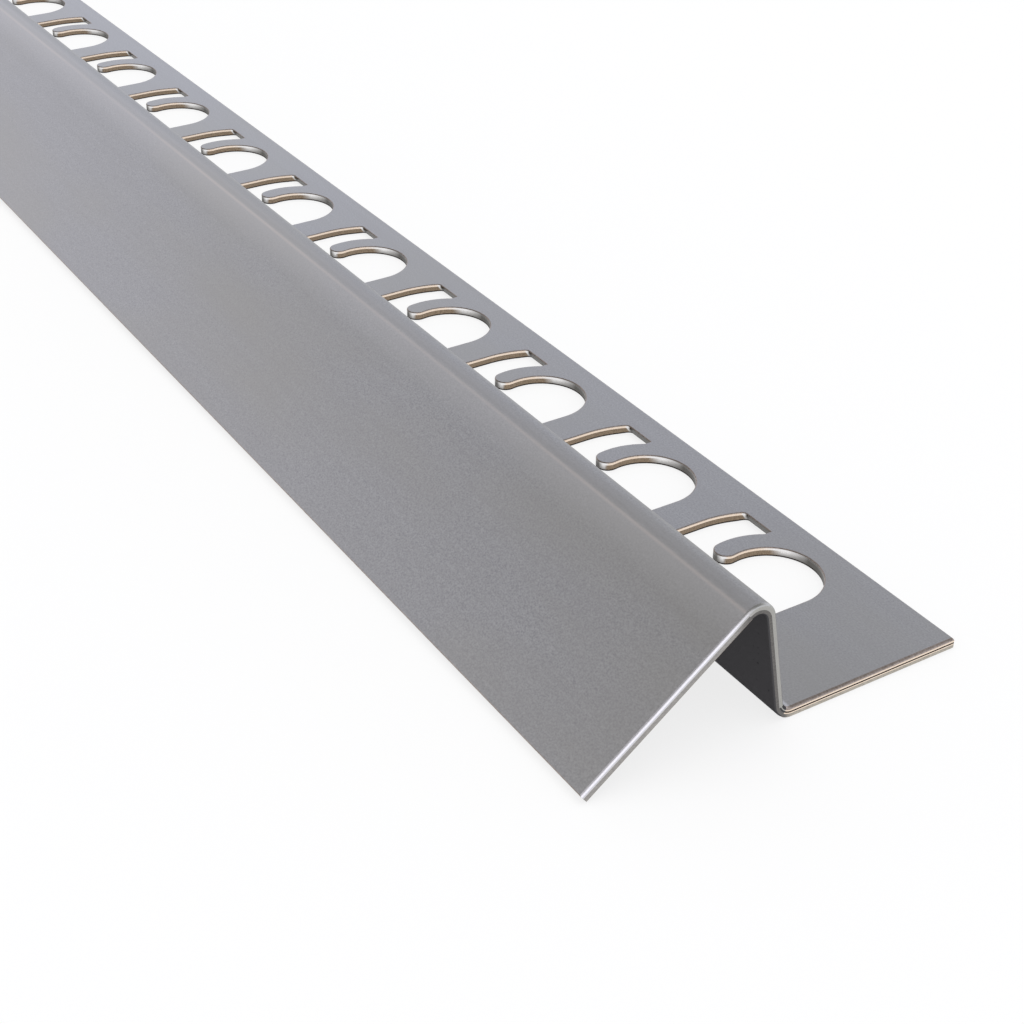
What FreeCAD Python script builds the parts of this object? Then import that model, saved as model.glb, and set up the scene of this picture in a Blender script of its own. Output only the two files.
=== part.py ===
"""Ramp-shaped tile edge trim: one bent steel sheet with a row of punched openings.

The section lies in the YZ plane and runs along X. The anchoring leg lies on the
floor plane and goes under the tile on the +Y side. The web stands up from the leg,
and the ramp falls from the top of the web to the floor on the -Y side. The openings
are measured from the +X end, which is the near end of the trim.
"""
import FreeCAD, Part
import math
import os
import Sketcher

# Driving sizes in millimetres and degrees
SIZES = {
    "trim_length": 1000.0,          # one stock length
    "sheet_thickness": 1.2,
    "inner_bend_radius": 1.2,       # inside radius of both bends
    "leg_width": 23.9,              # outer edge to the foot of the web, on top of the leg
    "web_lean": 9.8,                # how far the web leans back from upright
    "trim_height": 16.4,            # floor to the top of the crest
    "ramp_angle": 37.5,             # how steeply the ramp falls
    "opening_pitch": 25.0,
    "first_opening": 14.25,         # near end to the first opening
    "least_end_margin": 8.0,        # plain sheet kept after the last opening
    "edge_strip": 3.5,              # outer edge of the leg to the round top of an opening
    "slot_strip": 3.8,              # outer edge of the leg to the flat end of the slot
    "opening_depth": 15.0,          # size of an opening across the leg
    "bowl_radius": 5.95,            # round end of an opening
    "finger_width": 2.95,           # curved tongue that is left standing in an opening
    "finger_turn": 10.0,            # how far the tongue bends past square
    "finger_root": 7.55,            # middle of the bowl to the square side of the tongue's root
    "slot_width": 4.9,              # gap beyond the tongue
    "slot_corner_radius": 0.7,      # far corner at the flat end of the slot
    "corner_radius": 1.0,           # the two corners of an opening beside the web
}


def make_sheet(doc):
    """Hold the driving sizes in a spreadsheet, with one alias each."""
    sheet = doc.addObject("Spreadsheet::Sheet", "Sizes")
    for row, (alias, value) in enumerate(SIZES.items(), start=1):
        sheet.set(f"A{row}", alias)
        sheet.set(f"B{row}", str(value))
        sheet.setAlias(f"B{row}", alias)
    doc.recompute()
    return sheet


def origin_feature(body, role):
    """One of the body's own origin planes or axes."""
    for feature in body.Origin.OriginFeatures:
        if feature.Role == role:
            return feature
    raise RuntimeError(f"{body.Name} has no {role}")


def vector(point):
    return FreeCAD.Vector(point[0], point[1], 0)


def polar(centre, radius, angle):
    """The point at a radius and an angle from a centre."""
    return (centre[0] + radius * math.cos(angle), centre[1] + radius * math.sin(angle))


class Drawing:
    """A sketch on one of the body's origin planes, with sizes bound to the sheet."""

    def __init__(self, body, name, plane):
        self.sketch = body.newObject("Sketcher::SketchObject", name)
        self.sketch.AttachmentSupport = (origin_feature(body, plane), [""])
        self.sketch.MapMode = "FlatFace"

    def line(self, start, end):
        return self.sketch.addGeometry(Part.LineSegment(vector(start), vector(end)), False)

    def arc(self, centre, radius, start_angle, end_angle):
        """An arc that runs counter-clockwise from the start angle to the end angle."""
        circle = Part.Circle(vector(centre), FreeCAD.Vector(0, 0, 1), radius)
        return self.sketch.addGeometry(Part.ArcOfCircle(circle, start_angle, end_angle), False)

    def guide(self, start, end):
        """A construction line, which is no edge of the outline."""
        return self.sketch.addGeometry(Part.LineSegment(vector(start), vector(end)), True)

    def helper_point(self, point):
        return self.sketch.addGeometry(Part.Point(vector(point)), True)

    def fix(self, *arguments):
        return self.sketch.addConstraint(Sketcher.Constraint(*arguments))

    def size(self, formula, *arguments):
        """A constraint that follows a formula of the driving sizes."""
        number = self.fix(*arguments)
        self.sketch.setExpression(f"Constraints[{number}]", formula)


# Names of the points that a constraint can hold
START = 1
END = 2
CENTRE = 3
ORIGIN = (-1, 1)
HORIZONTAL_AXIS = -1


def draw_section(body, sheet):
    """The bent sheet seen on its end: leg, web and ramp, joined by two bends."""
    thickness = sheet.sheet_thickness
    inner = sheet.inner_bend_radius
    outer = inner + thickness
    lean = math.radians(sheet.web_lean)
    fall = math.radians(sheet.ramp_angle)
    web_normal = lean
    ramp_normal = math.pi / 2 + fall
    straight_down = 1.5 * math.pi

    foot = (-sheet.leg_width, thickness)
    heel_centre = (foot[0] + inner * (1 - math.sin(lean)) / math.cos(lean), outer)
    crest_height = sheet.trim_height - outer
    crest_shift = (outer + (crest_height - thickness) * math.sin(lean)) / math.cos(lean)
    crest_centre = (foot[0] - crest_shift, crest_height)
    ramp_start = polar(crest_centre, inner, ramp_normal)
    tip_low = polar(ramp_start, ramp_start[1] / math.sin(fall), math.pi + fall)
    tip_high = polar(tip_low, thickness, ramp_normal)

    draw = Drawing(body, "section", "YZ_Plane")
    leg_under = draw.line((0, 0), (heel_centre[0], 0))
    heel = draw.arc(heel_centre, outer, math.pi + web_normal, straight_down)
    web_back = draw.line(polar(heel_centre, outer, math.pi + web_normal), polar(crest_centre, inner, web_normal))
    hollow = draw.arc(crest_centre, inner, web_normal, ramp_normal)
    ramp_under = draw.line(ramp_start, tip_low)
    tip = draw.line(tip_low, tip_high)
    ramp_face = draw.line(tip_high, polar(crest_centre, outer, ramp_normal))
    crest = draw.arc(crest_centre, outer, web_normal, ramp_normal)
    web_face = draw.line(polar(crest_centre, outer, web_normal), polar(heel_centre, inner, math.pi + web_normal))
    seat = draw.arc(heel_centre, inner, math.pi + web_normal, straight_down)
    leg_top = draw.line((heel_centre[0], thickness), (0, thickness))
    leg_edge = draw.line((0, thickness), (0, 0))
    web_foot = draw.helper_point(foot)

    # The flats run smoothly into the bends
    draw.fix("Tangent", leg_under, END, heel, END)
    draw.fix("Tangent", heel, START, web_back, START)
    draw.fix("Tangent", web_back, END, hollow, START)
    draw.fix("Tangent", hollow, END, ramp_under, START)
    draw.fix("Tangent", ramp_face, END, crest, END)
    draw.fix("Tangent", crest, START, web_face, START)
    draw.fix("Tangent", web_face, END, seat, START)
    draw.fix("Tangent", seat, END, leg_top, START)

    # The sheet is cut square at both long edges
    draw.fix("Coincident", ramp_under, END, tip, START)
    draw.fix("Coincident", tip, END, ramp_face, START)
    draw.fix("Perpendicular", tip, ramp_under)
    draw.fix("Coincident", leg_top, END, leg_edge, START)
    draw.fix("Coincident", leg_edge, END, leg_under, START)
    draw.fix("Vertical", leg_edge)

    # Both faces of the sheet bend about the same centres
    draw.fix("Coincident", heel, CENTRE, seat, CENTRE)
    draw.fix("Coincident", hollow, CENTRE, crest, CENTRE)
    draw.size("Sizes.inner_bend_radius", "Radius", seat, inner)
    draw.size("Sizes.inner_bend_radius + Sizes.sheet_thickness", "Radius", heel, outer)
    draw.size("Sizes.inner_bend_radius", "Radius", hollow, inner)
    draw.size("Sizes.inner_bend_radius + Sizes.sheet_thickness", "Radius", crest, outer)

    # The leg lies on the floor from its outer edge, and the tip of the ramp touches it
    draw.fix("Coincident", leg_under, START, *ORIGIN)
    draw.fix("Horizontal", leg_under)
    draw.fix("PointOnObject", tip, START, HORIZONTAL_AXIS)

    # Leg width, height, lean and fall
    draw.fix("PointOnObject", web_foot, START, leg_top)
    draw.fix("PointOnObject", web_foot, START, web_face)
    draw.size("Sizes.leg_width", "DistanceX", web_foot, START, leg_top, END, sheet.leg_width)
    rise = "Sizes.trim_height - Sizes.inner_bend_radius - Sizes.sheet_thickness"
    draw.size(rise, "DistanceY", *ORIGIN, crest, CENTRE, crest_height)
    draw.size("(90 + Sizes.web_lean) * 1 deg", "Angle", web_back, math.pi / 2 + lean)
    draw.size("Sizes.ramp_angle * 1 deg", "Angle", ramp_face, fall)
    return draw.sketch


def draw_opening(body, sheet):
    """One punched opening in plan: a round bowl, a curved tongue and a slot beyond it."""
    bowl = sheet.bowl_radius
    tongue = bowl + sheet.finger_width
    slot = tongue + sheet.slot_width
    turn = math.radians(sheet.finger_turn)
    slot_corner = sheet.slot_corner_radius
    corner = sheet.corner_radius
    centre = (sheet.trim_length - sheet.first_opening - bowl, -sheet.edge_strip - bowl)
    slot_end = -sheet.slot_strip
    web_side = centre[1] + bowl - sheet.opening_depth
    near_wall = centre[0] + bowl
    far_wall = centre[0] - slot
    tongue_root = math.pi - math.acos(sheet.finger_root / tongue)
    slot_root = math.pi - math.asin((slot_end - slot_corner - centre[1]) / (slot - slot_corner))
    root_side = centre[0] - sheet.finger_root
    slot_corner_centre = polar(centre, slot - slot_corner, slot_root)
    tip_centre = polar(centre, (bowl + tongue) / 2, math.pi + turn)

    draw = Drawing(body, "opening_plan", "XY_Plane")
    bowl_arc = draw.arc(centre, bowl, 0, math.pi + turn)
    tongue_tip = draw.arc(tip_centre, sheet.finger_width / 2, math.pi + turn, 2 * math.pi + turn)
    tongue_arc = draw.arc(centre, tongue, tongue_root, math.pi + turn)
    root_line = draw.line(polar(centre, tongue, tongue_root), (root_side, slot_end))
    slot_line = draw.line((root_side, slot_end), (slot_corner_centre[0], slot_end))
    end_corner = draw.arc(slot_corner_centre, slot_corner, math.pi / 2, slot_root)
    slot_arc = draw.arc(centre, slot, slot_root, math.pi)
    far_line = draw.line((far_wall, centre[1]), (far_wall, web_side + corner))
    far_corner = draw.arc((far_wall + corner, web_side + corner), corner, math.pi, 1.5 * math.pi)
    web_line = draw.line((far_wall + corner, web_side), (near_wall - corner, web_side))
    near_corner = draw.arc((near_wall - corner, web_side + corner), corner, 1.5 * math.pi, 2 * math.pi)
    near_line = draw.line((near_wall, web_side + corner), (near_wall, centre[1]))

    # The outline closes, smoothly except at the root of the tongue
    draw.fix("Tangent", near_line, END, bowl_arc, START)
    draw.fix("Tangent", bowl_arc, END, tongue_tip, END)
    draw.fix("Tangent", tongue_tip, START, tongue_arc, END)
    draw.fix("Coincident", tongue_arc, START, root_line, START)
    draw.fix("Coincident", root_line, END, slot_line, START)
    draw.fix("Tangent", slot_line, END, end_corner, START)
    draw.fix("Tangent", end_corner, END, slot_arc, START)
    draw.fix("Tangent", slot_arc, END, far_line, START)
    draw.fix("Tangent", far_line, END, far_corner, START)
    draw.fix("Tangent", far_corner, END, web_line, START)
    draw.fix("Tangent", web_line, END, near_corner, START)
    draw.fix("Tangent", near_corner, END, near_line, START)

    # The bowl, the tongue and the slot bend about one centre
    draw.fix("Coincident", bowl_arc, CENTRE, tongue_arc, CENTRE)
    draw.fix("Coincident", bowl_arc, CENTRE, slot_arc, CENTRE)
    draw.size("Sizes.bowl_radius", "Radius", bowl_arc, bowl)
    draw.size("Sizes.bowl_radius + Sizes.finger_width", "Radius", tongue_arc, tongue)
    draw.size("Sizes.bowl_radius + Sizes.finger_width + Sizes.slot_width", "Radius", slot_arc, slot)
    spine = draw.guide(centre, tip_centre)
    draw.fix("Coincident", spine, START, bowl_arc, CENTRE)
    draw.fix("Coincident", spine, END, tongue_tip, CENTRE)
    draw.size("(180 + Sizes.finger_turn) * 1 deg", "Angle", spine, math.pi + turn)

    # The slot ends flat, parallel to the leg's edge and square to the tongue's root
    draw.fix("Horizontal", slot_line)
    draw.fix("Vertical", root_line)
    draw.size("Sizes.finger_root", "DistanceX", root_line, END, bowl_arc, CENTRE, sheet.finger_root)
    draw.size("Sizes.slot_corner_radius", "Radius", end_corner, slot_corner)
    draw.size("Sizes.slot_strip", "DistanceY", slot_line, START, *ORIGIN, sheet.slot_strip)
    centre_depth = "Sizes.edge_strip + Sizes.bowl_radius"
    draw.size(centre_depth, "DistanceY", bowl_arc, CENTRE, *ORIGIN, -centre[1])

    # The side next to the web is straight, with two small corners
    draw.fix("Horizontal", web_line)
    draw.fix("Vertical", near_line)
    draw.fix("Vertical", far_line)
    draw.size("Sizes.corner_radius", "Radius", near_corner, corner)
    draw.size("Sizes.corner_radius", "Radius", far_corner, corner)
    web_side_depth = "Sizes.edge_strip + Sizes.opening_depth"
    draw.size(web_side_depth, "DistanceY", web_line, START, *ORIGIN, -web_side)

    # Distance from the near end of the trim
    first_centre = "Sizes.trim_length - Sizes.first_opening - Sizes.bowl_radius"
    draw.size(first_centre, "DistanceX", *ORIGIN, bowl_arc, CENTRE, centre[0])
    return draw.sketch


def make_trim(doc, sheet):
    """Bend the sheet, then punch the row of openings through its leg."""
    body = doc.addObject("PartDesign::Body", "edge_trim")
    body.Label = "edge_trim"

    section = draw_section(body, sheet)
    bent_sheet = body.newObject("PartDesign::Pad", "bent_sheet")
    bent_sheet.Profile = section
    bent_sheet.setExpression("Length", "Sizes.trim_length")
    doc.recompute()

    plan = draw_opening(body, sheet)
    first_opening = body.newObject("PartDesign::Pocket", "first_opening")
    first_opening.Profile = plan
    first_opening.Reversed = True
    first_opening.setExpression("Length", "Sizes.sheet_thickness")
    doc.recompute()

    opening_row = body.newObject("PartDesign::LinearPattern", "opening_row")
    opening_row.Originals = [first_opening]
    opening_row.Direction = (origin_feature(body, "X_Axis"), [""])
    opening_row.Reversed = True
    opening_length = "(2 * Sizes.bowl_radius + Sizes.finger_width + Sizes.slot_width)"
    room = f"Sizes.trim_length - Sizes.first_opening - {opening_length} - Sizes.least_end_margin"
    more_openings = f"floor(({room}) / Sizes.opening_pitch)"
    opening_row.setExpression("Length", f"Sizes.opening_pitch * {more_openings}")
    opening_row.setExpression("Occurrences", f"1 + {more_openings}")
    body.Tip = opening_row
    doc.recompute()

    check_punching(bent_sheet, plan, opening_row, sheet.sheet_thickness)

    # The origin is on the floor, under the middle of the trim
    box = body.Shape.BoundBox
    body.Placement.Base = FreeCAD.Vector(-box.Center.x, -box.Center.y, -box.ZMin)
    doc.recompute()
    return body


def check_punching(bent_sheet, plan, opening_row, thickness):
    """Every opening has to take its full plan area out of the sheet."""
    opening_volume = Part.Face(plan.Shape.Wires).Area * thickness
    removed = bent_sheet.Shape.Volume - opening_row.Shape.Volume
    expected = opening_volume * opening_row.Occurrences
    if abs(removed - expected) > 0.001 * expected:
        raise RuntimeError(f"the openings removed {removed:.1f} mm3, not {expected:.1f} mm3")


def check_document(doc, body):
    """Stop before anything is written if a feature failed."""
    for item in doc.Objects:
        if "Invalid" in item.State or "Error" in item.State:
            raise RuntimeError(f"{item.Label} failed: {item.State}")
    if body.Shape.isNull() or not body.Shape.isValid() or len(body.Shape.Solids) != 1:
        raise RuntimeError(f"{body.Label} is not one valid solid")


def main():
    doc = FreeCAD.newDocument("edge_trim")
    sheet = make_sheet(doc)
    body = make_trim(doc, sheet)
    check_document(doc, body)
    os.makedirs("parts", exist_ok=True)
    body.Shape.exportStep(f"parts/{body.Label}.step")
    box = body.Shape.BoundBox
    print(f"{body.Label}: {box.XLength:.2f} x {box.YLength:.2f} x {box.ZLength:.2f} mm")
    print(f"openings: {doc.getObject('opening_row').Occurrences}, volume: {body.Shape.Volume:.0f} mm3")


main()
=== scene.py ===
"""Looks of the ramp-shaped tile edge trim: one sheet of satin stainless steel, punched and bent.

Everything is in metres in the part's own frame: X runs along the trim to its near end,
the anchoring leg lies on the +Y side and the ramp falls to the floor on the -Y side.
"""
import bmesh
import bpy
import math
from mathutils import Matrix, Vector


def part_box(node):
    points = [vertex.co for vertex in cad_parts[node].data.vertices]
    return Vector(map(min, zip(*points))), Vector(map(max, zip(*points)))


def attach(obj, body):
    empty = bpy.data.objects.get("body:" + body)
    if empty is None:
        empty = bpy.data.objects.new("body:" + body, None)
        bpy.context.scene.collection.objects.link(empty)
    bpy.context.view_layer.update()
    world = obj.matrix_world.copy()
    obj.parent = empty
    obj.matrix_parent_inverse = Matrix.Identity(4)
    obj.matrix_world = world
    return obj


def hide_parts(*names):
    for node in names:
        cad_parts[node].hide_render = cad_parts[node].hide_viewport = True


MM = 0.001
CLOSE = 0.01 * MM                   # nearer than this, two places are the same
MARGIN = 1.0 * MM                   # well clear of an edge, for a test of what lies beyond it

# The bent sheet, in metres and radians
LENGTH = 1000.0 * MM
SHEET = 1.2 * MM
INNER_BEND = 1.2 * MM
LEG_WIDTH = 23.9 * MM
HEIGHT = 16.4 * MM
LEAN = math.radians(9.8)
FALL = math.radians(37.5)

# One punched opening, and how the row of them is laid out. A round bowl and a bent slot share one
# centre, and the tongue of sheet that stands between them reaches in from the leg's outer side.
PITCH = 25.0 * MM
OPENINGS = 39
FIRST_OPENING = 14.25 * MM          # from the near end
EDGE_STRIP = 3.5 * MM               # from the leg's outer edge to the bowl
SLOT_STRIP = 3.8 * MM               # and to the slot's flat end
OPENING_DEPTH = 15.0 * MM
BOWL = 5.95 * MM                    # the bowl's radius
FINGER = 2.95 * MM                  # the tongue's width
TURN = math.radians(10)             # by which the bowl's arc goes past half a turn, to the tongue's tip
FINGER_ROOT = 7.55 * MM             # from the centre to the slot's straight side, at the tongue's root
SLOT = 4.9 * MM                     # the slot's width
SLOT_CORNER = 0.7 * MM
CORNER = 1.0 * MM                   # on the web's side

# In how many steps each arc is drawn
BOWL_STEPS = 40
TIP_STEPS = 18
TONGUE_STEPS = 12
SLOT_STEPS = 8
SLOT_CORNER_STEPS = 5
CORNER_STEPS = 6
SEAT_STEPS = 14
CREST_STEPS = 24
RIM_SEGMENTS = 4

# How a sheared edge is made up, down from its top: the sheet rolls over, a band is rubbed bright,
# then the metal tears. The end of the leg was sheared in two bites, with a fine groove between.
END_ROLLOVER = 0.34 * MM
ROLLOVER_SHARE = 0.35               # of that, on the openings and the long edges
RUBBED_TO = 0.40 * MM
BURNISHED_TO = 0.45 * MM
GROOVE_TO = 0.64 * MM
SECOND_BITE_TO = 0.77 * MM
TORN_TO = 1.02 * MM
GROOVE_DEPTH = 0.03 * MM
UNDER_ROUNDING = 0.16 * MM          # on the ends of the ramp and the web
SLOT_END_SLANT = 0.45 * MM          # by which the torn end of a slot runs out towards its foot
GROOVE_RUNS_UP = math.radians(35)   # into the bend
STAIN_RUNS_UP = math.radians(70)    # how far the rolled rim's painted shade runs into the bend
STAIN_BEFORE_CREST = 2.0 * MM       # where the stained line on the ends starts, on the ramp's side
SHADE_BEFORE_CREST = 1.5 * MM       # and where the foot of the ends takes the underside's painted shade
FLAT_WITHIN = math.radians(1)       # faces that lean less than this are one flat
SMOOTH_WITHIN = math.radians(40)    # and less than this are one curve
LEANS_OUT = 0.03                    # least x of a rim's normal that counts as facing the end

# The finishes in the order of the sheet's material slots
ROLLED, BURNISHED, TORN, DRESSED, GROUND, GROOVED, WORN_RIM, UNDERSIDE = range(8)

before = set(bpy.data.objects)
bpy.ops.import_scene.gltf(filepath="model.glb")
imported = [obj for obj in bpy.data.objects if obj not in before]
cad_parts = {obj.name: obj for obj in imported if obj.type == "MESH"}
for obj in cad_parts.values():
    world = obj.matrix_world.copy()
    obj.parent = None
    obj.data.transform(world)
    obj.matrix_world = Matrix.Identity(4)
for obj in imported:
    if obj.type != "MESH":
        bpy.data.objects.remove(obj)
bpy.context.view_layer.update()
OUTER_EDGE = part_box("edge_trim")[1].y


# Modelling by hand

def deselect_everything():
    bpy.ops.object.select_all(action="DESELECT")


def edit(piece):
    """Open one piece in edit mode, with nothing else selected."""
    deselect_everything()
    bpy.context.view_layer.objects.active = piece
    piece.select_set(True)
    bpy.ops.object.mode_set(mode="EDIT")


def leave_edit():
    bpy.ops.object.mode_set(mode="OBJECT")


def pick(kind, test):
    """In edit mode, select every vertex, edge or face that passes the test."""
    bpy.ops.mesh.select_mode(type=kind)
    bpy.ops.mesh.select_all(action="DESELECT")
    mesh = bmesh.from_edit_mesh(bpy.context.object.data)
    for item in {"VERT": mesh.verts, "EDGE": mesh.edges, "FACE": mesh.faces}[kind]:
        if test(item):
            item.select_set(True)
    mesh.select_flush_mode()
    bmesh.update_edit_mesh(bpy.context.object.data)


def run(x, y, z=0.0):
    """Draw a straight run on from the selected point or edge."""
    bpy.ops.mesh.extrude_region_move(TRANSFORM_OT_translate={"value": (x, y, z)})


def sweep(centre, angle, steps, axis=(0, 0, 1)):
    """Draw an arc on from the selected point or edge, counter-clockwise for a positive angle."""
    bpy.ops.mesh.spin(steps=steps, angle=-angle, center=centre, axis=axis)


def middle(item):
    points = [v.co for v in item.verts]
    return sum(points, Vector()) / len(points)


def near(value, target):
    return abs(value - target) < CLOSE


# The section, seen along the trim: y across and z up, on the visible side of the sheet
OUTER_BEND = INNER_BEND + SHEET
FOOT = OUTER_EDGE - LEG_WIDTH
SEAT_Y = FOOT + INNER_BEND * (1 - math.sin(LEAN)) / math.cos(LEAN)
SEAT_CENTRE = (0, SEAT_Y, OUTER_BEND)
CREST_Z = HEIGHT - OUTER_BEND
CREST_Y = FOOT - (OUTER_BEND + (CREST_Z - SHEET) * math.sin(LEAN)) / math.cos(LEAN)
CREST_CENTRE = (0, CREST_Y, CREST_Z)
SEAT_ANGLE = math.pi / 2 - LEAN
CREST_ANGLE = math.pi / 2 + FALL - LEAN
WEB_RUN = (CREST_Z - OUTER_BEND) * math.cos(LEAN) - (CREST_Y - SEAT_Y) * math.sin(LEAN)
RAMP_RUN = (CREST_Z + INNER_BEND * math.cos(FALL)) / math.sin(FALL)


def draw_opening():
    """Draw the outline of the opening nearest to the near end, and say where along the trim it lies."""
    bowl = Vector((LENGTH / 2 - FIRST_OPENING - BOWL, OUTER_EDGE - EDGE_STRIP - BOWL, SHEET))
    tongue = BOWL + FINGER
    slot = tongue + SLOT
    slot_end = OUTER_EDGE - SLOT_STRIP - bowl.y
    web_side = OUTER_EDGE - EDGE_STRIP - OPENING_DEPTH - bowl.y
    root_angle = math.pi - math.acos(FINGER_ROOT / tongue)
    slot_angle = math.pi - math.asin((slot_end - SLOT_CORNER) / (slot - SLOT_CORNER))
    spine = Vector((math.cos(math.pi + TURN), math.sin(math.pi + TURN), 0))
    tip = bowl + spine * (BOWL + FINGER / 2)
    corner_arm = Vector((math.cos(slot_angle), math.sin(slot_angle), 0)) * (slot - SLOT_CORNER)
    slot_corner = bowl + corner_arm

    bpy.ops.mesh.primitive_plane_add(size=MM, location=bowl + Vector((BOWL, 0, 0)))
    outline = bpy.context.object
    edit(outline)
    bpy.ops.mesh.merge(type="CENTER")
    sweep(bowl, math.pi + TURN, BOWL_STEPS)
    sweep(tip, -math.pi, TIP_STEPS)
    sweep(bowl, root_angle - math.pi - TURN, TONGUE_STEPS)
    run(0, slot_end - tongue * math.sin(root_angle))
    run(corner_arm.x + FINGER_ROOT, 0)
    sweep(slot_corner, slot_angle - math.pi / 2, SLOT_CORNER_STEPS)
    sweep(bowl, math.pi - slot_angle, SLOT_STEPS)
    run(0, web_side + CORNER)
    sweep(bowl + Vector((CORNER - slot, web_side + CORNER, 0)), math.pi / 2, CORNER_STEPS)
    run(BOWL + slot - 2 * CORNER, 0)
    sweep(bowl + Vector((BOWL - CORNER, web_side + CORNER, 0)), math.pi / 2, CORNER_STEPS)
    run(0, -web_side - CORNER)
    bpy.ops.mesh.select_all(action="SELECT")
    bpy.ops.mesh.remove_doubles(threshold=CLOSE / 2)
    leave_edit()
    return outline, bowl.x - slot, bowl.x + BOWL


def punch_leg():
    """The leg's top face with its row of openings: one pitch of it is drawn, filled and repeated."""
    outline, far_side, near_side = draw_opening()
    bridge = PITCH - (near_side - far_side)
    near_seam = near_side + bridge / 2
    depth = OUTER_EDGE - SEAT_Y

    deselect_everything()
    one_pitch = (near_seam - PITCH / 2, OUTER_EDGE - depth / 2, SHEET)
    bpy.ops.mesh.primitive_plane_add(size=1, location=one_pitch)
    sheet = bpy.context.object
    sheet.name = "trim_sheet"
    edit(sheet)
    bpy.ops.transform.resize(value=(PITCH, depth, 1))
    bpy.ops.mesh.delete(type="ONLY_FACE")
    leave_edit()
    outline.select_set(True)
    bpy.ops.object.join()

    edit(sheet)
    bpy.ops.mesh.select_all(action="SELECT")
    bpy.ops.mesh.fill(use_beauty=False)
    bpy.ops.mesh.select_all(action="SELECT")
    bpy.ops.mesh.dissolve_limited(angle_limit=FLAT_WITHIN)
    bpy.ops.mesh.normals_make_consistent(inside=False)
    leave_edit()

    row = sheet.modifiers.new("opening_row", "ARRAY")
    row.count = OPENINGS
    row.use_relative_offset = False
    row.use_constant_offset = True
    row.constant_offset_displace = (-PITCH, 0, 0)
    row.use_merge_vertices = True
    row.merge_threshold = CLOSE
    bpy.ops.object.modifier_apply(modifier=row.name)
    bpy.ops.object.transform_apply(location=True, rotation=True, scale=True)

    far_seam = near_seam - OPENINGS * PITCH
    edit(sheet)
    pick("EDGE", lambda e: all(near(v.co.x, near_seam) for v in e.verts))
    run(LENGTH / 2 - near_seam, 0)
    pick("EDGE", lambda e: all(near(v.co.x, far_seam) for v in e.verts))
    run(-LENGTH / 2 - far_seam, 0)
    leave_edit()
    return sheet


def bend(sheet):
    """Fold the sheet up from the leg into the web, and over the crest into the ramp."""
    edit(sheet)
    pick("EDGE", lambda e: all(near(v.co.y, SEAT_Y) for v in e.verts))
    sweep(SEAT_CENTRE, -SEAT_ANGLE, SEAT_STEPS, (1, 0, 0))
    run(0, -WEB_RUN * math.sin(LEAN), WEB_RUN * math.cos(LEAN))
    sweep(CREST_CENTRE, CREST_ANGLE, CREST_STEPS, (1, 0, 0))
    run(0, -RAMP_RUN * math.cos(FALL), -RAMP_RUN * math.sin(FALL))
    bpy.ops.mesh.select_all(action="SELECT")
    bpy.ops.mesh.normals_make_consistent(inside=False)
    mesh = bmesh.from_edit_mesh(sheet.data)
    leg = next(f for f in mesh.faces if middle(f).y > SEAT_Y + MARGIN)
    if leg.normal.z < 0:
        bpy.ops.mesh.flip_normals()
    leave_edit()


def in_leg(place, reach=GROOVE_RUNS_UP):
    """Whether a place at an end belongs to the leg, which is taken to reach this far into the bend."""
    return math.atan2(SEAT_Y - place.y, OUTER_BEND - place.z) < reach


def wall_finish(wall, depth):
    """The finish of one band of a cut edge, by where it is and how deep it goes."""
    centre = middle(wall)
    if near(abs(centre.x), LENGTH / 2):
        if in_leg(centre):
            # at the leg's ends the groove band takes painted shade
            return {GROOVE_TO: GROOVED, TORN_TO: GROUND, SHEET: GROUND}.get(depth, BURNISHED)
        if depth == GROOVE_TO and centre.y > CREST_Y - STAIN_BEFORE_CREST:
            return WORN_RIM
        return DRESSED if depth <= BURNISHED_TO else GROUND
    # the foot of a cut wall takes the groove's painted shade
    if depth == SHEET:
        return GROOVED
    return BURNISHED if depth == RUBBED_TO else TORN


def give_thickness(sheet):
    """Draw the sheet's thickness down from its visible side, in the bands that a cut edge shows."""
    edit(sheet)
    bpy.ops.mesh.select_mode(type="EDGE")
    bpy.ops.mesh.select_all(action="DESELECT")
    bpy.ops.mesh.select_non_manifold()
    bpy.ops.mesh.mark_sharp()
    bpy.ops.mesh.select_mode(type="FACE")
    bpy.ops.mesh.select_all(action="SELECT")
    drawn = 0
    for depth in (RUBBED_TO, BURNISHED_TO, GROOVE_TO, SECOND_BITE_TO, TORN_TO, SHEET):
        bpy.ops.mesh.extrude_region()
        bpy.ops.transform.shrink_fatten(value=drawn - depth, use_even_offset=True)
        bpy.ops.mesh.mark_sharp(clear=True)
        drawn = depth
        mesh = bmesh.from_edit_mesh(sheet.data)
        moved = [face for face in mesh.faces if face.select]
        edges = {edge for face in moved for edge in face.edges}
        for wall in {face for edge in edges for face in edge.link_faces if not face.select}:
            wall.material_index = wall_finish(wall, depth)
        bmesh.update_edit_mesh(sheet.data)
    # the underside takes painted shade
    for face in moved:
        face.material_index = UNDERSIDE
    bmesh.update_edit_mesh(sheet.data)
    bpy.ops.mesh.select_all(action="SELECT")
    bpy.ops.mesh.normals_make_consistent(inside=False)
    leave_edit()


def cut_grooves(sheet):
    """Sink the fine groove in both ends of the leg."""
    edit(sheet)
    for end in (LENGTH / 2, -LENGTH / 2):
        pick("FACE", lambda f: f.material_index == GROOVED and near(middle(f).x, end))
        run(-math.copysign(GROOVE_DEPTH, end), 0)
    leave_edit()


def in_slot_end(place):
    """Whether a place is on the flat end of a slot, or on the round corners that lead to it."""
    along = (LENGTH / 2 - FIRST_OPENING - BOWL - place.x) % PITCH
    short_of_end = OUTER_EDGE - SLOT_STRIP - place.y
    in_slot = BOWL + MARGIN < along < BOWL + FINGER + SLOT + MARGIN
    return in_slot and -CLOSE < short_of_end < SLOT_CORNER


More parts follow.
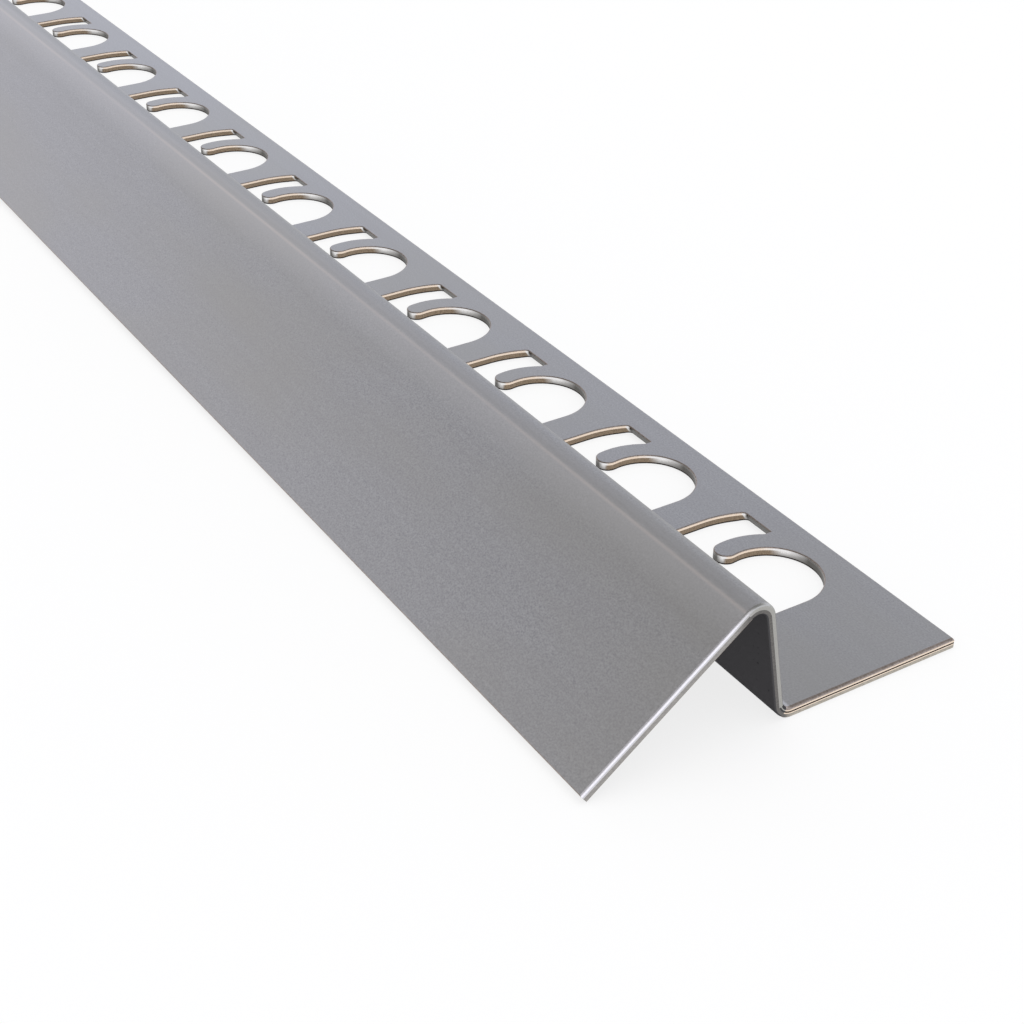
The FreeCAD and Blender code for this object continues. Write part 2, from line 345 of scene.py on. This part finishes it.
def slant_slot_ends(sheet):
    """Let the torn end of each slot run out towards its foot, where the punch broke through."""
    edit(sheet)
    corner_start = (0, OUTER_EDGE - SLOT_STRIP - SLOT_CORNER, 0)
    for depth in (BURNISHED_TO, GROOVE_TO, SECOND_BITE_TO, TORN_TO, SHEET):
        pick("VERT", lambda v: near(v.co.z, SHEET - depth) and in_slot_end(v.co))
        slant = SLOT_END_SLANT * (depth - RUBBED_TO) / (SHEET - RUBBED_TO)
        stretch = (1, 1 + slant / SLOT_CORNER, 1)
        bpy.ops.transform.resize(value=stretch, center_override=corner_start)
    leave_edit()


def at_end(edge):
    return near(abs(middle(edge).x), LENGTH / 2)


def round_off(sheet, width, finish):
    """Round the edges that have a bevel weight, and give the rounding a finish."""
    leave_edit()
    rims = sheet.modifiers.new("rolled_rims", "BEVEL")
    rims.limit_method = "WEIGHT"
    rims.width = width
    rims.segments = RIM_SEGMENTS
    rims.material = finish
    rims.use_clamp_overlap = False
    bpy.ops.object.modifier_apply(modifier=rims.name)
    sheet.data.attributes.remove(sheet.data.attributes["bevel_weight_edge"])
    edit(sheet)


def give_finish(sheet, finish, test):
    """Give one finish to the faces that pass the test."""
    pick("FACE", test)
    sheet.active_material_index = finish
    bpy.ops.object.material_slot_assign()


def soften_rims(sheet):
    """Roll the top rims over, more so at the ends, and shade the flats as flats."""
    edit(sheet)
    pick("EDGE", lambda e: not e.smooth and at_end(e))
    bpy.ops.transform.edge_bevelweight(value=1)
    pick("EDGE", lambda e: not e.smooth and not at_end(e))
    bpy.ops.transform.edge_bevelweight(value=ROLLOVER_SHARE)
    # the rolled rims take painted shade
    round_off(sheet, END_ROLLOVER, WORN_RIM)

    def rim_past_leg(face, width, reach):
        """Whether a face is on a rim, this wide, of the ramp's, crest's or web's end."""
        on_end = abs(middle(face).x) > LENGTH / 2 - width
        return on_end and face.material_index == WORN_RIM and not in_leg(middle(face), reach)

    # the rolled rims of the ramp's, crest's and web's ends take the dressed finish: a painted highlight
    # on the ramp, painted shade at the crest
    give_finish(sheet, DRESSED, lambda f: rim_past_leg(f, END_ROLLOVER, STAIN_RUNS_UP)
                and abs(f.normal.x) > LEANS_OUT)

    def foot_of_end(edge):
        finishes = {face.material_index for face in edge.link_faces}
        meets_underside = UNDERSIDE in finishes and len(finishes) == 2
        return at_end(edge) and meets_underside and not in_leg(middle(edge))

    pick("EDGE", foot_of_end)
    bpy.ops.transform.edge_bevelweight(value=1)
    round_off(sheet, UNDER_ROUNDING, WORN_RIM)
    # the foot of the crest's and web's ends takes the underside's painted shade
    give_finish(sheet, UNDERSIDE, lambda f: rim_past_leg(f, UNDER_ROUNDING, GROOVE_RUNS_UP)
                and middle(f).y > CREST_Y - SHADE_BEFORE_CREST)
    leave_edit()
    bpy.ops.object.shade_smooth_by_angle(angle=SMOOTH_WITHIN)
    even = sheet.modifiers.new("even_flats", "WEIGHTED_NORMAL")
    even.mode = "FACE_AREA"
    even.weight = 100
    even.keep_sharp = True
    bpy.ops.object.modifier_apply(modifier=even.name)


# Finishes

# The sockets of a Mix node that mixes two colours
SHARE, FIRST, SECOND = 0, 6, 7

USUAL_NOISE = {"From Min": 0.3, "From Max": 0.7}    # the range that noise seldom leaves
FINE_RELIEF = 0.01 * MM
COARSE_RELIEF = 0.02 * MM


def colour(code):
    """A hex colour in sRGB, turned to the linear values that shaders use."""
    channels = [int(code[i:i + 2], 16) / 255 for i in (1, 3, 5)]
    linear = [c / 12.92 if c <= 0.04045 else ((c + 0.055) / 1.055) ** 2.4 for c in channels]
    return (*linear, 1.0)


def add(tree, kind, inputs=None, **settings):
    """Add one node, with its settings and its inputs.

    An input is given a number, a colour's hex code, an output to link, or a node, of which
    the first output in use is linked.
    """
    node = tree.nodes.new("ShaderNode" + kind)
    for name, value in settings.items():
        setattr(node, name, value)
    for name, value in (inputs or {}).items():
        if isinstance(value, str):
            value = colour(value)
        elif isinstance(value, bpy.types.Node):
            value = next(output for output in value.outputs if output.enabled)
        if isinstance(value, bpy.types.NodeSocket):
            tree.links.new(value, node.inputs[name])
        else:
            node.inputs[name].default_value = value
    return node


def start_material(name):
    material = bpy.data.materials.new(name)
    material.use_nodes = True
    tree = material.node_tree
    tree.nodes.clear()
    return material, tree


def pattern(tree, sizes, detail=3.0):
    """Noise whose grains have these real sizes along X, Y and Z, in millimetres."""
    place = add(tree, "TexCoord").outputs["Object"]
    turned = add(tree, "Mapping", {"Vector": place, "Scale": [1 / (size * MM) for size in sizes]})
    return add(tree, "TexNoise", {"Vector": turned, "Scale": 1.0, "Detail": detail, "Roughness": 0.55})


def place_on(tree, axis):
    """Where a place lies on one axis of the part."""
    place = add(tree, "TexCoord").outputs["Object"]
    return add(tree, "SeparateXYZ", {"Vector": place}).outputs[axis]


def bare_metal(tree, base, roughness, height, strength, distance, glance="#ffffff"):
    """Make a material bare metal, white at a glancing angle unless too rough, or given a dimmer glance
    as painted shade.
    """
    bump = add(tree, "Bump", {"Height": height, "Strength": strength, "Distance": distance})
    shader = add(tree, "BsdfPrincipled", {
        "Base Color": base, "Metallic": 1.0, "Roughness": roughness,
        "Specular Tint": glance, "Normal": bump})
    add(tree, "OutputMaterial", {"Surface": shader})


def cold_rolled_stainless():
    """Cold rolled stainless sheet, pickled and skin passed: an even milky grey with a very fine grain.

    Over the crest it carries a painted highlight, and a thin warm painted highlight line where the
    bend starts. Past the crest it is darker, with painted shade mottled by the grain.
    """
    material, tree = start_material("cold_rolled_stainless")
    # The real grain, of about 0.03 mm, is too fine to show, so it is drawn at 0.2 mm
    grain = pattern(tree, (0.26, 0.2, 0.2))
    rolled = pattern(tree, (14.0, 0.8, 0.8), detail=2.0)
    clouds = pattern(tree, (60.0, 18.0, 18.0), detail=2.0)
    fine = add(tree, "MapRange", {"Value": grain, **USUAL_NOISE})
    streaks = add(tree, "MapRange", {
        "Value": rolled, "From Min": 0.35, "From Max": 0.7, "To Max": 0.3})
    milk = add(tree, "MapRange", {"Value": clouds, "From Min": 0.4, "From Max": 0.65, "To Max": 0.45})
    grey = add(tree, "Mix", {SHARE: fine, FIRST: "#96969a", SECOND: "#b6b6b8"}, data_type="RGBA")
    lined = add(tree, "Mix", {SHARE: streaks, FIRST: grey, SECOND: "#a09fa1"}, data_type="RGBA")
    milky = add(tree, "Mix", {SHARE: milk, FIRST: lined, SECOND: "#a6a49f"}, data_type="RGBA")

    y = place_on(tree, "Y")
    # painted highlight: a brighter band over the crest
    rubbed_in = add(tree, "MapRange", {
        "Value": y, "From Min": CREST_Y - 4.5 * MM, "From Max": CREST_Y - 1.2 * MM, "To Max": 0.45})
    rubbed_out = add(tree, "MapRange", {
        "Value": y, "From Min": CREST_Y - 0.4 * MM, "From Max": CREST_Y + 0.8 * MM,
        "To Min": 1.0, "To Max": 0.0})
    rubbed = add(tree, "Math", {0: rubbed_in, 1: rubbed_out}, operation="MULTIPLY")
    bright = add(tree, "Mix", {SHARE: rubbed, FIRST: milky, SECOND: "#c8c7c9"}, data_type="RGBA")

    # painted highlight: a thin warm line where the bend starts, faded in places by the clouds
    bend_start = CREST_Y - OUTER_BEND * math.sin(FALL)
    past_start = add(tree, "Math", {0: y, 1: bend_start}, operation="SUBTRACT")
    off_line = add(tree, "Math", {0: past_start}, operation="ABSOLUTE")
    line = add(tree, "MapRange", {
        "Value": off_line, "From Min": 0.04 * MM, "From Max": 0.24 * MM,
        "To Min": 0.32, "To Max": 0.0})
    faded = add(tree, "MapRange", {"Value": clouds, "From Min": 0.3, "From Max": 0.6, "To Min": 0.4})
    warmth = add(tree, "Math", {0: line, 1: faded}, operation="MULTIPLY")
    warm = add(tree, "Mix", {SHARE: warmth, FIRST: bright, SECOND: "#d8cdc7"}, data_type="RGBA")

    # painted shade past the crest, towards the web, mottled by the grain
    past_crest = add(tree, "MapRange", {
        "Value": y, "From Min": CREST_Y - 0.6 * MM, "From Max": CREST_Y + 0.7 * MM})
    before_web = add(tree, "MapRange", {
        "Value": y, "From Min": CREST_Y + 1.6 * MM, "From Max": CREST_Y + 3.0 * MM,
        "To Min": 1.0, "To Max": 0.0})
    beyond = add(tree, "Math", {0: past_crest, 1: before_web}, operation="MULTIPLY")
    mottled = add(tree, "MapRange", {"Value": grain, **USUAL_NOISE, "To Min": 0.85, "To Max": 0.45})
    beyond = add(tree, "Math", {0: beyond, 1: mottled}, operation="MULTIPLY")
    base = add(tree, "Mix", {SHARE: beyond, FIRST: warm, SECOND: "#6b6965"}, data_type="RGBA")
    roughness = add(tree, "MapRange", {"Value": grain, **USUAL_NOISE, "To Min": 0.35, "To Max": 0.45})
    bare_metal(tree, base, roughness, grain, strength=0.35, distance=FINE_RELIEF)
    return material


def around_opening(tree, shade, bright, straw, straw_from, straw_to):
    """A cut wall's colour by which way it faces, all painted light: a straw coloured painted reflection
    where it faces along the trim, a bright painted reflection where it faces askew towards the near
    end, and painted shade elsewhere. The straw comes in between two values of the normal's x."""
    normal = add(tree, "NewGeometry").outputs["Normal"]
    facing = add(tree, "SeparateXYZ", {"Vector": normal}).outputs["X"]
    far_side = add(tree, "MapRange", {"Value": facing, "From Min": -0.7, "From Max": -0.95})
    facing = add(tree, "Math", {0: facing, 1: far_side}, operation="MAXIMUM")
    lit = add(tree, "MapRange", {"Value": facing, "From Min": 0.12, "From Max": 0.58})
    silver = add(tree, "Mix", {SHARE: lit, FIRST: shade, SECOND: bright}, data_type="RGBA")
    stained = add(tree, "MapRange", {"Value": facing, "From Min": straw_from, "From Max": straw_to})
    return add(tree, "Mix", {SHARE: stained, FIRST: silver, SECOND: straw}, data_type="RGBA")


def burnished_band():
    """The upper part of a sheared wall, rubbed smooth, painted by which way it faces: a cream or silver
    painted reflection, or grey painted shade.
    """
    material, tree = start_material("burnished_shear_band")
    # Drag marks of a few hundredths of a millimetre, drawn at 0.12 mm so that they show
    drag = pattern(tree, (0.12, 0.12, 2.0))
    # painted reflections: straw where the wall faces along the trim, silver where it faces askew; the
    # grey passed below is painted shade
    straw = add(tree, "Mix", {SHARE: drag, FIRST: "#e6cdb4", SECOND: "#fbeee0"}, data_type="RGBA")
    bright = add(tree, "Mix", {SHARE: drag, FIRST: "#e4e2e2", SECOND: "#fbfafa"}, data_type="RGBA")
    base = around_opening(tree, "#6e6c6a", bright, straw, 0.76, 0.93)
    roughness = add(tree, "MapRange", {"Value": drag, **USUAL_NOISE, "To Min": 0.2, "To Max": 0.34})
    bare_metal(tree, base, roughness, drag, strength=0.3, distance=FINE_RELIEF)
    return material


def torn_band():
    """The lower part of a sheared wall, where the metal tears, painted by which way it faces: a bronze
    brown painted reflection, a silver painted reflection darkened towards its foot with painted shade,
    or dull painted shade."""
    material, tree = start_material("torn_shear_band")
    # The grains of the fracture are finer than this too, and drawn at 0.1 mm so that they show
    torn = pattern(tree, (0.1, 0.1, 0.14), detail=4.0)
    grains = add(tree, "MapRange", {"Value": torn, "From Min": 0.35, "From Max": 0.65})
    # painted reflections: bronze where the wall faces along the trim, silver where it faces askew
    bronze = add(tree, "Mix", {SHARE: grains, FIRST: "#726355", SECOND: "#a2907b"}, data_type="RGBA")
    silver = add(tree, "Mix", {SHARE: grains, FIRST: "#dedcda", SECOND: "#fbfaf9"}, data_type="RGBA")
    # painted shade, darker towards the wall's foot
    foot = add(tree, "MapRange", {
        "Value": place_on(tree, "Z"), "From Min": 0.75 * MM, "From Max": 0.2 * MM})
    silver = add(tree, "Mix", {SHARE: foot, FIRST: silver, SECOND: "#a09e9c"}, data_type="RGBA")
    base = around_opening(tree, "#64625f", silver, bronze, 0.66, 0.82)
    roughness = add(tree, "MapRange", {"Value": torn, **USUAL_NOISE, "To Min": 0.36, "To Max": 0.55})
    bare_metal(tree, base, roughness, torn, strength=0.5, distance=COARSE_RELIEF)
    return material


def dressed_end():
    """The upper part of the ends, dressed with a fine file: a bright painted highlight on the ramp and
    painted shade at the crest.
    """
    material, tree = start_material("file_dressed_end")
    filed = pattern(tree, (0.5, 0.5, 0.06))
    # painted highlight on the ramp's end, and painted shade towards the crest
    bright = add(tree, "Mix", {SHARE: filed, FIRST: "#c8c7ca", SECOND: "#dfdee2"}, data_type="RGBA")
    dull = add(tree, "Mix", {SHARE: filed, FIRST: "#959491", SECOND: "#b7b6b1"}, data_type="RGBA")
    over_crest = add(tree, "MapRange", {
        "Value": place_on(tree, "Y"), "From Min": CREST_Y - 3.2 * MM, "From Max": CREST_Y - 0.4 * MM})
    base = add(tree, "Mix", {SHARE: over_crest, FIRST: bright, SECOND: dull}, data_type="RGBA")
    roughness = add(tree, "MapRange", {"Value": filed, **USUAL_NOISE, "To Min": 0.28, "To Max": 0.4})
    bare_metal(tree, base, roughness, filed, strength=0.25, distance=FINE_RELIEF)
    return material


def ground_end():
    """The lower part of the ends, which the file hardly reached: grey on the ramp, darkened with
    painted shade on the web, and warm with a painted reflection on the leg."""
    material, tree = start_material("ground_end")
    ground = pattern(tree, (0.3, 0.3, 0.1))
    scratches = add(tree, "MapRange", {"Value": ground, **USUAL_NOISE})
    # grey, with painted shade for the web and a warm painted reflection for the leg
    cool = add(tree, "Mix", {SHARE: scratches, FIRST: "#8f8d8c", SECOND: "#aeaba6"}, data_type="RGBA")
    dark = add(tree, "Mix", {SHARE: scratches, FIRST: "#5f5d5c", SECOND: "#7a7774"}, data_type="RGBA")
    warm = add(tree, "Mix", {SHARE: scratches, FIRST: "#989288", SECOND: "#c6bfb3"}, data_type="RGBA")
    y = place_on(tree, "Y")
    on_web = add(tree, "MapRange", {
        "Value": y, "From Min": CREST_Y - 3 * MM, "From Max": CREST_Y - MM})
    on_leg = add(tree, "MapRange", {"Value": y, "From Min": FOOT, "From Max": SEAT_Y})
    base = add(tree, "Mix", {SHARE: on_web, FIRST: cool, SECOND: dark}, data_type="RGBA")
    base = add(tree, "Mix", {SHARE: on_leg, FIRST: base, SECOND: warm}, data_type="RGBA")
    roughness = add(tree, "MapRange", {"Value": ground, **USUAL_NOISE, "To Min": 0.38, "To Max": 0.5})
    bare_metal(tree, base, roughness, ground, strength=0.3, distance=FINE_RELIEF)
    return material


def shear_groove():
    """The groove between two bites of the shear, and the torn foot of a wall: dull, and dark with
    painted shade.
    """
    material, tree = start_material("dark_shear_groove")
    dirt = pattern(tree, (0.2, 0.2, 0.1))
    base = add(tree, "Mix", {SHARE: dirt, FIRST: "#1b1613", SECOND: "#433c37"}, data_type="RGBA")
    bare_metal(tree, base, 0.6, dirt, strength=0.4, distance=COARSE_RELIEF)
    return material


def worn_rim():
    """The rolled-over rim of a sheared edge: a brownish grey, darker than the flats, that is painted
    shade.
    """
    material, tree = start_material("stained_rolled_rim")
    stain = pattern(tree, (0.4, 0.2, 0.2))
    spots = add(tree, "MapRange", {"Value": stain, **USUAL_NOISE})
    base = add(tree, "Mix", {SHARE: spots, FIRST: "#857a72", SECOND: "#aba098"}, data_type="RGBA")
    bare_metal(tree, base, 0.42, stain, strength=0.2, distance=FINE_RELIEF)
    return material


def dull_underside():
    """The side that beds into the adhesive: much darker, which is painted shade for the hollow under
    the ramp, and duller.
    """
    material, tree = start_material("dull_mill_underside")
    mill = pattern(tree, (0.6, 0.4, 0.4))
    dots = pattern(tree, (0.5, 0.5, 0.5), detail=1.0)
    grey = add(tree, "Mix", {SHARE: mill, FIRST: "#474648", SECOND: "#575658"}, data_type="RGBA")
    specks = add(tree, "MapRange", {"Value": dots, "From Min": 0.7, "From Max": 0.76, "To Max": 0.7})
    base = add(tree, "Mix", {SHARE: specks, FIRST: grey, SECOND: "#2a2a2c"}, data_type="RGBA")
    roughness = add(tree, "MapRange", {"Value": mill, **USUAL_NOISE, "To Min": 0.45, "To Max": 0.55})
    # a dimmer glance deepens the painted shade
    bare_metal(tree, base, roughness, mill, strength=0.35, distance=FINE_RELIEF, glance="#a8a8a8")
    return material


# Studio

# The photograph's viewpoint, found from the row of openings and the section
CAMERA_PLACE = Vector((0.615473, -0.104027, 0.124304))
CAMERA_FORWARD = Vector((-0.716241, 0.441973, -0.540055))
SENSOR_WIDTH = 36.0                 # millimetres
FOCAL_LENGTH = 65.51

SOFTBOX_PLACE = Vector((0.95, -0.27, 0.42))
SOFTBOX_TARGET = Vector((0.45, 0.0, 0.0))
SOFTBOX_SIDE = 0.6
SOFTBOX_POWER = 1.0                 # watts
SKYLIGHT_STRENGTH = 1.2
SKYLIGHT_SPREAD = math.radians(70)
FLOOR_SIDE = 60.0
FLOOR_BELOW = 0.1 * MM              # so that the trim's underside doesn't lie in the floor
PLAIN_WHITE_SHARE = 0.8             # of the floor's look, and the rest takes light and shadow
LEG_SIDE_EXTRA = 0.3                # by which the tent is brighter behind the leg


def set_camera():
    lens = bpy.data.cameras.new("camera")
    lens.sensor_width = SENSOR_WIDTH
    lens.lens = FOCAL_LENGTH
    lens.clip_start = 10 * MM
    camera = bpy.data.objects.new("camera", lens)
    bpy.context.scene.collection.objects.link(camera)
    camera.location = CAMERA_PLACE
    camera.rotation_euler = CAMERA_FORWARD.to_track_quat("-Z", "Y").to_euler()
    bpy.context.scene.camera = camera


def light_world():
    """A pale studio tent: bright and cool low down, more so behind the leg, and greyer overhead."""
    world = bpy.data.worlds.new("studio")
    bpy.context.scene.world = world
    world.use_nodes = True
    tree = world.node_tree
    tree.nodes.clear()
    way = add(tree, "SeparateXYZ", {"Vector": add(tree, "TexCoord").outputs["Generated"]}).outputs
    height = add(tree, "MapRange", {
        "Value": way["Z"], "From Min": 0.22, "From Max": 0.73, "To Min": 1.34, "To Max": 0.36})
    leg_side = add(tree, "MapRange", {"Value": way["Y"], "From Min": -0.5, "From Max": 0.2})
    not_overhead = add(tree, "MapRange", {
        "Value": way["Z"], "From Min": 0.6, "From Max": 0.2, "To Min": 0.3})
    behind = add(tree, "Math", {0: leg_side, 1: not_overhead}, operation="MULTIPLY")
    extra = add(tree, "Math", {0: behind, 1: LEG_SIDE_EXTRA}, operation="MULTIPLY")
    level = add(tree, "Math", {0: height, 1: extra}, operation="ADD")
    low = add(tree, "MapRange", {"Value": way["Z"], "From Min": 0.48, "From Max": 0.2})
    cloth = add(tree, "Mix", {SHARE: low, FIRST: "#fffefd", SECOND: "#f8f6ff"}, data_type="RGBA")
    cloth = add(tree, "Mix", {SHARE: behind, FIRST: cloth, SECOND: "#eff3ff"}, data_type="RGBA")
    tent = add(tree, "Background", {"Color": cloth, "Strength": level})
    add(tree, "OutputWorld", {"Surface": tent})


def lay_floor():
    """White card, as wide as can be seen. It shows mostly plain white, to the eye and in the metal
    alike, and keeps a faint soft shadow."""
    bpy.ops.mesh.primitive_plane_add(size=FLOOR_SIDE, location=(0, 0, -FLOOR_BELOW))
    floor = bpy.context.object
    floor.name = "floor"
    material, tree = start_material("white_card_floor")
    card = add(tree, "BsdfDiffuse", {"Color": "#fcfcfc"})
    white = add(tree, "Emission", {"Color": (1, 1, 1, 1), "Strength": 1.0})
    ray = add(tree, "LightPath").outputs
    seen = add(tree, "Math", {0: ray["Is Camera Ray"], 1: ray["Is Glossy Ray"]}, operation="MAXIMUM")
    seen = add(tree, "Math", {0: seen, 1: ray["Is Transmission Ray"]}, operation="MAXIMUM")
    share = add(tree, "Math", {0: seen, 1: PLAIN_WHITE_SHARE}, operation="MULTIPLY")
    either = add(tree, "MixShader", {0: share, 1: card, 2: white})
    add(tree, "OutputMaterial", {"Surface": either})
    floor.data.materials.append(material)


def hang_softbox():
    """A softbox on the camera's side, which draws the highlights along the rims."""
    lamp = bpy.data.lights.new("camera_side_softbox", "AREA")
    lamp.shape = "SQUARE"
    lamp.size = SOFTBOX_SIDE
    lamp.energy = SOFTBOX_POWER
    lamp.color = colour("#f8f6ff")[:3]
    softbox = bpy.data.objects.new("camera_side_softbox", lamp)
    bpy.context.scene.collection.objects.link(softbox)
    softbox.location = SOFTBOX_PLACE
    softbox.rotation_euler = (SOFTBOX_TARGET - SOFTBOX_PLACE).to_track_quat("-Z", "Y").to_euler()
    softbox.visible_diffuse = False


def hang_skylight():
    """An even skylight from straight above, for the floor and its soft shadow."""
    lamp = bpy.data.lights.new("skylight", "SUN")
    lamp.energy = SKYLIGHT_STRENGTH
    lamp.angle = SKYLIGHT_SPREAD
    skylight = bpy.data.objects.new("skylight", lamp)
    bpy.context.scene.collection.objects.link(skylight)
    skylight.visible_glossy = False


deselect_everything()
sheet = punch_leg()
bend(sheet)
give_thickness(sheet)
cut_grooves(sheet)
slant_slot_ends(sheet)
for finish in (cold_rolled_stainless(), burnished_band(), torn_band(), dressed_end(),
               ground_end(), shear_groove(), worn_rim(), dull_underside()):
    sheet.data.materials.append(finish)
soften_rims(sheet)
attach(sheet, "root")
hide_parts("edge_trim")

set_camera()
light_world()
lay_floor()
hang_softbox()
hang_skylight()
bpy.context.scene.view_settings.view_transform = "Standard"
